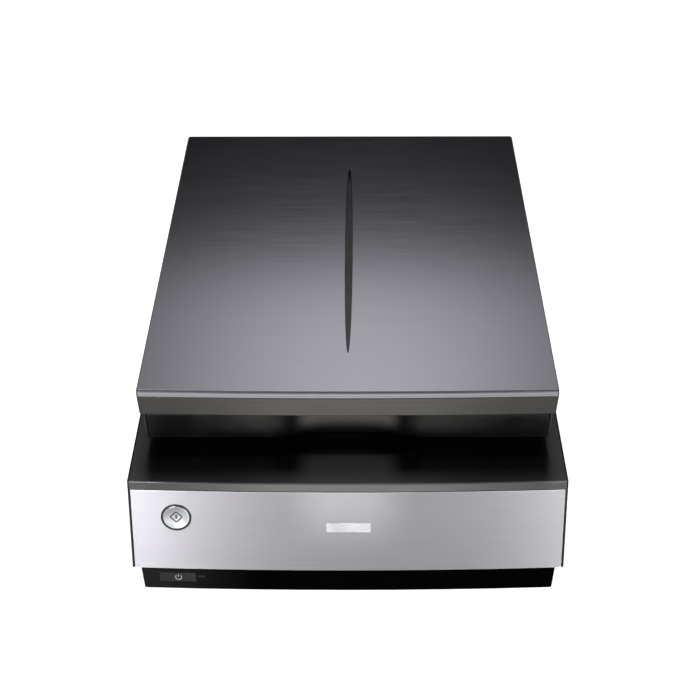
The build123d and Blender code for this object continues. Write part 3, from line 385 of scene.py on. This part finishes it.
def plinth_black():
    """Deep black, finely textured plinth moulding, with painted light making it greyer towards its left end,
    where the power key sits.
    """
    m = moulded("plinth_black", (0.0004, 0.0004, 0.0005), 0.42, 0.5, 0.01, 1.3, IOR=1.02)
    grain = m.grain((3, 3, 3), 3.0)
    # Painted light: greyer towards the left end, broken up by a coarse grain.
    wear_and_sheen = m.times(m.fade(m.axis("X"), -0.06, -0.15), m.fade(grain, 0.2, 0.8, 0.8, 1.2))
    m.over(wear_and_sheen, (0.0065, 0.0062, 0.0062))
    return m.done()


def silver_front():
    """Silver front plate, finely brushed from side to side, with a painted highlight at its top middle, a
    painted bright line along its top edge and painted highlights on its edges.
    """
    brushing = {"Anisotropic": 0.9, "Anisotropic_Rotation": 0.25}
    m = Finish("silver_front", (0.28, 0.275, 0.29), 0.42, Metallic=1.0, **brushing)
    m.soften(0.35)
    streaks = m.grain((140, 140, 0.6), 3.0, 0.7)
    hair = m.grain((30, 30, 0.12), 2.0)
    mixed = m.plus(m.times(streaks, 0.45), m.times(hair, 0.55))
    height = m.axis("Z")
    # Painted highlight: lighter towards the top middle, and a bright line along the top edge.
    upper = m.times(m.fade(height, 30 * MM, 86 * MM), m.fade(m.across(), 0.01, 0.05, 0.6, 0.04))
    upper = m.plus(upper, m.fade(height, 87.2 * MM, 87.6 * MM, 0.0, 0.25))
    m.feed("Base Color", m.blend(m.fade(mixed, 0.3, 0.7), (0.211, 0.206, 0.220), (0.242, 0.237, 0.251)))
    m.over(upper, (0.44, 0.432, 0.45))
    # Painted highlight: lighter along the edges.
    m.over(m.times(m.edges(0.4), 0.7), (0.7, 0.7, 0.71))
    m.feed("Roughness", m.fade(mixed, 0.35, 0.65, 0.39, 0.45))
    m.bump(hair, 0.003)
    m.bump(streaks, 0.0015)
    return m.done()


def slit_gloss():
    """Glossy black insert in the lid's long slit."""
    m = Finish("slit_gloss", (0.004, 0.004, 0.0045), 0.2, Specular_IOR_Level=0.3)
    m.soften(0.3)
    smudges(m, 0.16, 0.26, 30.0)
    flow = m.grain((20, 20, 20), 3.0)
    m.feed("Base Color", m.blend(flow, (0.003, 0.003, 0.0034), (0.006, 0.006, 0.0064)))
    m.bump(m.grain((0.5, 0.5, 0.5), 2.0), 0.003)
    return m.done()


def turned_metal(name, colour, roughness, size, edge_colour, **sockets):
    """Metal with fine tool marks; size sets how the marks run along X, Y and Z in millimetres."""
    m = Finish(name, colour, roughness, Metallic=1.0, **sockets)
    m.soften(0.25)
    marks = m.grain(size, 3.0, 0.6)
    stain = m.grain((12, 12, 12), 3.0)
    dark = tuple(c * 0.82 for c in colour)
    base = m.blend(m.fade(stain, 0.35, 0.7), colour, dark)
    m.feed("Base Color", m.blend(m.times(m.edges(0.3), 0.6), base, edge_colour))
    m.feed("Roughness", m.fade(marks, 0.3, 0.7, roughness - 0.06, roughness + 0.1))
    m.bump(marks, 0.006)
    return m.done()


def bezel_dark():
    """Dark satin ring round the start button."""
    m = moulded("bezel_dark", (0.006, 0.006, 0.0065), 0.28, 0.3, 0.004, 2.0, Specular_IOR_Level=0.25)
    return m.done()


def button_silver():
    """Pale silver paint on the start button's dished cap, with painted shade darkening its upper left and
    its upward-facing edges.
    """
    m = Finish("button_silver", (0.56, 0.58, 0.59), 0.14, Metallic=1.0, Coat_Weight=0.1, Coat_Roughness=0.08)
    m.soften(0.3)
    flakes = m.grain((0.1, 0.1, 0.1), 1.0)
    broad = m.grain((6, 6, 6), 3.0)
    base = m.blend(m.fade(flakes, 0.45, 0.7), (0.56, 0.58, 0.59), (0.66, 0.68, 0.69))
    # Painted shade: darker towards the upper left of the cap.
    slope = m.plus(m.times(m.plus(m.axis("Z"), -CAP_Z), 0.8), m.times(m.plus(m.axis("X"), -CAP_X), -0.5))
    base = m.blend(m.fade(slope, -4 * MM, 7 * MM), base, (0.34, 0.335, 0.35))
    # Painted shade: upward-facing edges are coloured dark.
    base = m.blend(m.fade(m.facing("Z"), 0.15, 0.4), base, (0.08, 0.08, 0.085))
    m.feed("Base Color", base)
    m.feed("Roughness", m.fade(broad, 0.3, 0.7, 0.11, 0.17))
    m.bump(flakes, 0.002)
    return m.done()


def key_black():
    """Satin black power key."""
    m = moulded("key_black", (0.0065, 0.0065, 0.007), 0.34, 0.35, 0.006, 1.7, Specular_IOR_Level=0.2)
    return m.done()


def moulded_white():
    """Cream-white plastic of gears and pulleys, slightly translucent."""
    m = moulded("moulded_white", (0.74, 0.73, 0.69), 0.42, 0.4, 0.01, 1.1, Subsurface_Weight=0.1)
    return m.done()


def clear_light():
    """Smoky clear bar of the status light."""
    m = Finish("clear_light", (0.004, 0.004, 0.005), 0.22, IOR=1.49, Specular_IOR_Level=0.2)
    m.soften(0.15)
    haze_and_sheen = m.grain((0.8, 0.8, 0.8), 3.0)
    m.feed("Base Color", m.blend(haze_and_sheen, (0.003, 0.003, 0.004), (0.008, 0.008, 0.009)))
    m.feed("Roughness", m.fade(haze_and_sheen, 0.3, 0.7, 0.16, 0.3))
    m.bump(haze_and_sheen, 0.01)
    return m.done()


def badge_metal():
    """Blank bright plate."""
    size = (8, 8, 0.12)
    return turned_metal("badge_metal", (0.50, 0.50, 0.52), 0.24, size, (0.95, 0.95, 0.96), Anisotropic=0.3)


def clear_sheet(name, tint, roughness, haze_and_sheen):
    """Clear sheet with faint smears and dust, its tint a little darker in smeared patches."""
    m = Finish(name, tint, roughness, IOR=1.5, Transmission_Weight=1.0)
    smear = m.grain((40, 40, 40), 4.0, 0.6)
    dust = m.fade(m.cells((3.5, 3.5, 3.5)), 0.06, 0.02)
    m.feed("Roughness", m.plus(m.fade(smear, 0.4, 0.75, roughness, roughness + haze_and_sheen), m.times(dust, 0.3)))
    edge = tuple(c * 0.8 for c in tint)
    m.feed("Base Color", m.blend(m.fade(smear, 0.3, 0.8, 0.0, 0.2), tint, edge))
    m.bump(smear, 0.002)
    return m.done()


def white_mat():
    """Matt white pressing mat: fine foam grain, a few grey handling marks, greyer edges."""
    m = Finish("white_mat", (0.82, 0.82, 0.81), 0.62, Sheen_Weight=0.1)
    m.soften(0.4)
    foam = m.cells((0.55, 0.55, 0.55))
    marks = m.grain((70, 70, 70), 5.0, 0.6)
    base = m.blend(m.fade(marks, 0.5, 0.75, 0.0, 0.5), (0.84, 0.84, 0.83), (0.72, 0.72, 0.71))
    m.feed("Base Color", m.blend(m.times(m.edges(0.6), 0.6), base, (0.6, 0.6, 0.59)))
    m.feed("Roughness", m.fade(marks, 0.3, 0.7, 0.55, 0.72))
    m.bump(foam, 0.04)
    return m.done()


def rubber_black():
    """Matt rubber with a dusty bloom."""
    m = Finish("rubber_black", (0.022, 0.022, 0.022), 0.75)
    m.soften(0.4)
    bloom = m.grain((5, 5, 5), 5.0, 0.6)
    m.feed("Base Color", m.blend(m.fade(bloom, 0.45, 0.8), (0.02, 0.02, 0.02), (0.06, 0.06, 0.058)))
    m.feed("Roughness", m.fade(bloom, 0.3, 0.7, 0.66, 0.86))
    m.bump(m.grain((0.35, 0.35, 0.35), 3.0), 0.03)
    return m.done()


def belt_rubber():
    """Black toothed belt: ribs across its run and worn lands."""
    m = Finish("belt_rubber", (0.03, 0.03, 0.03), 0.6)
    along = m.times(m.axis("Y"), 2 * math.pi / (2.0 * MM))
    teeth = m.node("Math", {0: along}, operation="SINE").outputs[0]
    wear_and_sheen = m.grain((3, 6, 3), 4.0)
    m.feed("Base Color", m.blend(m.fade(teeth, 0.2, 0.9), (0.02, 0.02, 0.02), (0.05, 0.05, 0.048)))
    m.feed("Roughness", m.fade(wear_and_sheen, 0.3, 0.7, 0.5, 0.7))
    m.bump(m.fade(teeth, -0.4, 0.4), 0.5)
    return m.done()


def circuit_board(name, mask, track, top):
    """Solder mask with copper tracks and pads under it, and dark parts above a height in metres."""
    m = Finish(name, mask, 0.35, Specular_IOR_Level=0.55)
    m.soften(0.15)
    lanes = m.fade(m.cells((4, 4, 4), "DISTANCE_TO_EDGE"), 0.05, 0.12)
    pads = m.fade(m.cells((2.6, 2.6, 2.6)), 0.14, 0.1)
    board = m.blend(m.times(lanes, 0.6), track, mask)
    board = m.blend(pads, board, (0.62, 0.62, 0.6))
    parts = m.fade(m.axis("Z"), top, top + 0.0002)
    body = m.blend(m.grain((1.5, 1.5, 1.5), 3.0), (0.015, 0.015, 0.016), (0.045, 0.045, 0.045))
    m.feed("Base Color", m.blend(parts, board, body))
    m.feed("Roughness", m.fade(m.grain((2, 2, 2), 3.0), 0.3, 0.7, 0.28, 0.5))
    m.bump(lanes, 0.03)
    return m.done()


def mirror_strip():
    """Front-silvered mirror, faintly hazy in patches."""
    m = Finish("mirror_strip", (0.86, 0.87, 0.88), 0.03, Metallic=1.0)
    haze_and_sheen = m.grain((25, 8, 8), 4.0)
    m.feed("Roughness", m.fade(haze_and_sheen, 0.4, 0.8, 0.02, 0.12))
    m.feed("Base Color", m.blend(m.fade(haze_and_sheen, 0.5, 0.8, 0.0, 0.4), (0.88, 0.89, 0.9), (0.74, 0.76, 0.8)))
    m.bump(haze_and_sheen, 0.001)
    return m.done()


def lens_glass():
    """Coated lens in a black barrel."""
    m = Finish("lens_glass", (0.02, 0.02, 0.03), 0.08, Coat_Weight=1.0, Coat_Roughness=0.03)
    facing = m.absolute(m.facing("Y"))
    glass = m.blend(m.node("LayerWeight", {0: 0.4}).outputs[1], (0.06, 0.03, 0.12), (0.10, 0.05, 0.02))
    barrel = m.blend(m.grain((0.4, 0.4, 0.4), 2.0), (0.012, 0.012, 0.012), (0.03, 0.03, 0.03))
    m.feed("Base Color", m.blend(m.fade(facing, 0.6, 0.7), barrel, glass))
    m.feed("Roughness", m.fade(facing, 0.6, 0.7, 0.5, 0.05))
    m.bump(m.grain((2, 2, 2), 2.0), 0.001)
    return m.done()


def lamp_white():
    """Milky diffuser over a row of lamps."""
    m = Finish("lamp_white", (0.86, 0.86, 0.82), 0.4, Subsurface_Weight=0.2, Emission_Strength=0.0)
    m.set("Subsurface Radius", (0.002, 0.002, 0.002))
    m.soften(0.3)
    along = m.times(m.axis("X"), 2 * math.pi / (7.0 * MM))
    dots = m.fade(m.node("Math", {0: along}, operation="SINE").outputs[0], 0.5, 0.95)
    haze_and_sheen = m.grain((6, 6, 6), 4.0)
    base = m.blend(m.times(dots, 0.6), (0.84, 0.84, 0.80), (0.95, 0.93, 0.62))
    m.feed("Base Color", m.blend(m.fade(haze_and_sheen, 0.5, 0.8, 0.0, 0.4), base, (0.7, 0.7, 0.66)))
    m.feed("Roughness", m.fade(haze_and_sheen, 0.3, 0.7, 0.34, 0.5))
    m.bump(haze_and_sheen, 0.01)
    return m.done()


def printed_mark():
    """Pale grey printing ink, a little uneven."""
    m = Finish("printed_mark", (0.16, 0.16, 0.165), 0.5)
    ink = m.grain((0.4, 0.4, 0.4), 3.0)
    m.feed("Base Color", m.blend(ink, (0.13, 0.13, 0.135), (0.2, 0.2, 0.205)))
    m.feed("Roughness", m.fade(ink, 0.3, 0.7, 0.42, 0.6))
    m.bump(ink, 0.002)
    return m.done()


def printed_dark():
    """Dark printing ink with a green cast, on the start button."""
    m = Finish("printed_dark", (0.014, 0.02, 0.02), 0.4)
    ink = m.grain((0.3, 0.3, 0.3), 3.0)
    m.feed("Base Color", m.blend(ink, (0.008, 0.012, 0.012), (0.02, 0.028, 0.028)))
    m.feed("Roughness", m.fade(ink, 0.3, 0.7, 0.35, 0.5))
    m.bump(ink, 0.002)
    return m.done()


SILVER = (0.72, 0.72, 0.73)
PALE = (0.9, 0.9, 0.9)
FINISHES = {
    "case_black": case_black(),
    "plinth_black": plinth_black(),
    "deck_black": deck_black(),
    "silver_front": silver_front(),
    "lid_metal": lid_metal(),
    "lid_grey": lid_grey(),
    "slit_gloss": slit_gloss(),
    "bezel_dark": bezel_dark(),
    "button_silver": button_silver(),
    "key_black": key_black(),
    "clear_light": clear_light(),
    "badge_metal": badge_metal(),
    "scan_glass": clear_sheet("scan_glass", (0.93, 0.98, 0.965), 0.01, 0.03),
    "window_glass": clear_sheet("window_glass", (0.95, 0.96, 0.96), 0.18, 0.12),
    "white_mat": white_mat(),
    "white_strip": moulded("white_strip", (0.86, 0.86, 0.85), 0.6, 0.3, 0.01, 1.05).done(),
    "rubber_black": rubber_black(),
    "steel_bright": turned_metal("steel_bright", SILVER, 0.18, (0.3, 20, 0.3), PALE),
    "steel_plate": turned_metal("steel_plate", (0.52, 0.53, 0.52), 0.36, (4, 30, 4), (0.75, 0.75, 0.75)),
    "screw_black": turned_metal("screw_black", (0.07, 0.07, 0.075), 0.35, (0.4, 0.4, 1.2), (0.3, 0.3, 0.3)),
    "motor_can": turned_metal("motor_can", (0.46, 0.46, 0.47), 0.32, (9, 9, 0.4), (0.8, 0.8, 0.8)),
    "moulded_grey": moulded("moulded_grey", (0.10, 0.10, 0.105), 0.45, 0.6, 0.02, 1.5).done(),
    "moulded_white": moulded_white(),
    "belt_rubber": belt_rubber(),
    "board_green": circuit_board("board_green", (0.012, 0.11, 0.05), (0.05, 0.22, 0.09), MAIN_BOARD_FACE),
    "board_tan": circuit_board("board_tan", (0.30, 0.20, 0.08), (0.42, 0.30, 0.14), SUPPLY_BOARD_FACE),
    "socket_black": moulded("socket_black", (0.018, 0.018, 0.018), 0.42, 0.3, 0.01, 2.0).done(),
    "socket_metal": turned_metal("socket_metal", (0.68, 0.68, 0.68), 0.25, (3, 3, 0.4), PALE),
    "mirror_strip": mirror_strip(),
    "lens_glass": lens_glass(),
    "lamp_white": lamp_white(),
    "bronze": turned_metal("bronze", (0.58, 0.38, 0.16), 0.35, (0.6, 0.6, 0.6), (0.8, 0.62, 0.35)),
}

for part in frame["record"]["subparts"]:
    mesh = frame["nodes"][part["node"]].data
    mesh.materials.clear()
    mesh.materials.append(FINISHES[part["material_slot"]])


# ================================================================ printed marks
def sheet(name, body, material, outline_rings, surface, thickness=0.04):
    """A thin printed piece: strips of (x, z) pairs laid on surface(x, z), which gives y in metres."""
    vertices = []
    faces = []
    for inner, outer in outline_rings:
        first = len(vertices)
        count = len(inner)
        for ring in (inner, outer):
            vertices += [(x, surface(x, z) - thickness * MM, z) for x, z in ring]
        for i in range(count - 1):
            faces.append((first + i, first + i + 1, first + count + i + 1, first + count + i))
    mesh = bpy.data.meshes.new(name)
    mesh.from_pydata(vertices, [], faces)
    mesh.validate()
    piece = bpy.data.objects.new(name, mesh)
    bpy.context.scene.collection.objects.link(piece)
    mesh.materials.append(material)
    solid = piece.modifiers.new("thickness", "SOLIDIFY")
    solid.thickness = 0.03 * MM
    solid.offset = 0.0
    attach(piece, body)
    return piece


def arc(centre, radius, start, end, steps=40):
    """Points along an arc in the XZ plane; angles in degrees from straight up, clockwise."""
    points = []
    for step in range(steps + 1):
        angle = math.radians(start + (end - start) * step / steps)
        points.append((centre[0] + radius * math.sin(angle), centre[1] + radius * math.cos(angle)))
    return points


def stroke(a, b, width):
    """A straight stroke between two (x, z) points as a pair of edges."""
    along = Vector((b[0] - a[0], b[1] - a[1])).normalized()
    side = Vector((-along.y, along.x)) * width / 2
    left = [(a[0] + side.x, a[1] + side.y), (b[0] + side.x, b[1] + side.y)]
    right = [(a[0] - side.x, a[1] - side.y), (b[0] - side.x, b[1] - side.y)]
    return (left, right)


def key_surface(x, z):
    """The power key's face: the drafted plinth, 0.4 mm proud."""
    low = PLINTH[0].z
    inset = 7 * MM - 2 * MM * (z - low) / (PLINTH_TOP - low)
    return bow_y(x, FRONT_Y + inset) - 0.4 * MM


def cap_surface(x, z):
    """The start button's dished face, turned to the bowed front."""
    turn = math.asin(CAP_X / BASE_ARC)
    across = (x - CAP_X) * math.cos(turn)
    radius2 = across**2 + (z - CAP_Z) ** 2
    depth = 0.5 * MM - radius2 / (2 * CAP_DISH)
    return bow_y(CAP_X) + depth / math.cos(turn) + (x - CAP_X) * math.tan(turn)


def power_mark():
    """The usual power symbol: a ring open at the top, with a bar in the gap."""
    centre = ((KEY[0].x + KEY[1].x) / 2 + 0.5 * MM, (KEY[0].z + KEY[1].z) / 2)
    ring = (arc(centre, 1.95 * MM, 40, 320), arc(centre, 2.45 * MM, 40, 320))
    bar = stroke((centre[0], centre[1] + 0.3 * MM), (centre[0], centre[1] + 2.9 * MM), 0.5 * MM)
    sheet("power_mark", "power_button", printed_mark(), [ring, bar], key_surface)


def start_mark():
    """The usual start symbol: a diamond with an upright bar."""
    reach = 4.3 * MM
    bar = 1.6 * MM
    tips = [(CAP_X, CAP_Z + reach), (CAP_X + reach, CAP_Z), (CAP_X, CAP_Z - reach), (CAP_X - reach, CAP_Z)]
    strokes = [stroke(tips[i], tips[(i + 1) % 4], 1.0 * MM) for i in range(4)]
    strokes.append(stroke((CAP_X, CAP_Z - bar), (CAP_X, CAP_Z + bar), 1.5 * MM))
    sheet("start_mark", "start_button", printed_dark(), strokes, cap_surface)


power_mark()
start_mark()


# ================================================================ studio
def floor():
    """A plain pale floor, well beyond the camera's view."""
    size = 14.0
    mesh = bpy.data.meshes.new("floor")
    corners = [(-size, -size, 0), (size, -size, 0), (size, size, 0), (-size, size, 0)]
    mesh.from_pydata(corners, [], [(0, 1, 2, 3)])
    piece = bpy.data.objects.new("floor", mesh)
    bpy.context.scene.collection.objects.link(piece)
    m = Finish("floor_pale", (0.6, 0.6, 0.6), 0.6)
    m.set("Emission Color", (1.0, 1.0, 1.0, 1.0))
    m.feed("Emission Strength", m.times(m.node("LightPath").outputs["Is Camera Ray"], 0.7))
    mesh.materials.append(m.done())


def world():
    """Soft studio surroundings: a bright sweep above and behind with dim flanks, dark low down behind."""
    made = bpy.data.worlds.new("studio")
    made.use_nodes = True
    made.node_tree.nodes.clear()
    g = Graph(made.node_tree)
    direction = g.node("SeparateXYZ", {0: g.node("TexCoord").outputs["Generated"]})
    across = g.absolute(direction.outputs["X"])
    depth = direction.outputs["Y"]
    height = direction.outputs["Z"]
    edge = math.sin(math.radians(SWEEP_EDGE))
    sweep = g.fade(height, edge - 0.012, edge + 0.012)
    sweep = g.times(sweep, g.fade(across, 0.0, 0.17, 1.1, 0.22))
    sides = g.fade(height, 0.25, 0.7, 0.04, 0.7)
    front = g.fade(height, 0.0, 0.5, 0.9, 0.75)
    flanks = g.fade(across, 0.3, 0.6, 0.004, 0.22)
    behind = g.node("Mix", {0: g.fade(depth, 0.2, 0.5), 2: sides, 3: g.plus(sweep, flanks)}).outputs[0]
    total = g.node("Mix", {0: g.fade(depth, -0.2, -0.6), 2: behind, 3: front}).outputs[0]
    light = g.node("Background", {0: (1, 1, 1, 1), 1: total})
    plain = g.node("Background", {0: (1, 1, 1, 1), 1: 1.0})
    seen = g.node("LightPath").outputs["Is Camera Ray"]
    shade = g.node("MixShader", {0: seen, 1: light.outputs[0], 2: plain.outputs[0]})
    g.node("OutputWorld", {0: shade.outputs[0]})
    bpy.context.scene.world = made


def hang(name, data, place, aim):
    """Hang a lamp at place, turned to aim."""
    lamp = bpy.data.objects.new(name, data)
    bpy.context.scene.collection.objects.link(lamp)
    lamp.location = place
    lamp.rotation_euler = (Vector(aim) - Vector(place)).to_track_quat("-Z", "Y").to_euler()
    return lamp


def softbox(name, place, aim, size, power):
    """A rectangular soft light; power in watts."""
    data = bpy.data.lights.new(name, "AREA")
    data.shape = "RECTANGLE"
    data.size = size[0]
    data.size_y = size[1]
    data.energy = power
    hang(name, data, place, aim).visible_camera = False


def spotlight(name, place, aim, spread, power):
    """A soft-edged pool of light; spread is the cone's full angle in degrees."""
    data = bpy.data.lights.new(name, "SPOT")
    data.energy = power
    data.spot_size = math.radians(spread)
    data.spot_blend = 1.0
    data.shadow_soft_size = 0.05
    hang(name, data, place, aim)


def camera():
    """Straight in front, looking down at about 28 degrees."""
    data = bpy.data.cameras.new("camera")
    data.lens = 98.80
    data.sensor_width = 36.0
    holder = bpy.data.objects.new("camera", data)
    bpy.context.scene.collection.objects.link(holder)
    turn = Matrix.Rotation(math.radians(0.295), 4, "Z")
    tilt = Matrix.Rotation(math.radians(61.803), 4, "X")
    roll = Matrix.Rotation(math.radians(-0.186), 4, "Z")
    holder.matrix_world = Matrix.Translation((0.00779, -1.38318, 0.80767)) @ turn @ tilt @ roll
    bpy.context.scene.camera = holder


floor()
world()
softbox("top_light", (0.0, -0.2, 2.4), (0.0, 0.0, 0.0), (2.2, 1.8), 24.0)
softbox("left_strip", (-0.55, -1.5, 0.35), (-0.15, -0.25, 0.06), (0.35, 0.7), 25.5)
softbox("right_strip", (0.65, -1.5, 0.35), (0.15, -0.25, 0.06), (0.35, 0.7), 24.5)
spotlight("floor_pool", (0.0, -0.62, 1.0), (0.0, -0.41, 0.0), 18.0, 50.0)
camera()
bpy.context.scene.view_settings.view_transform = "Standard"
bpy.context.scene.view_settings.look = "None"
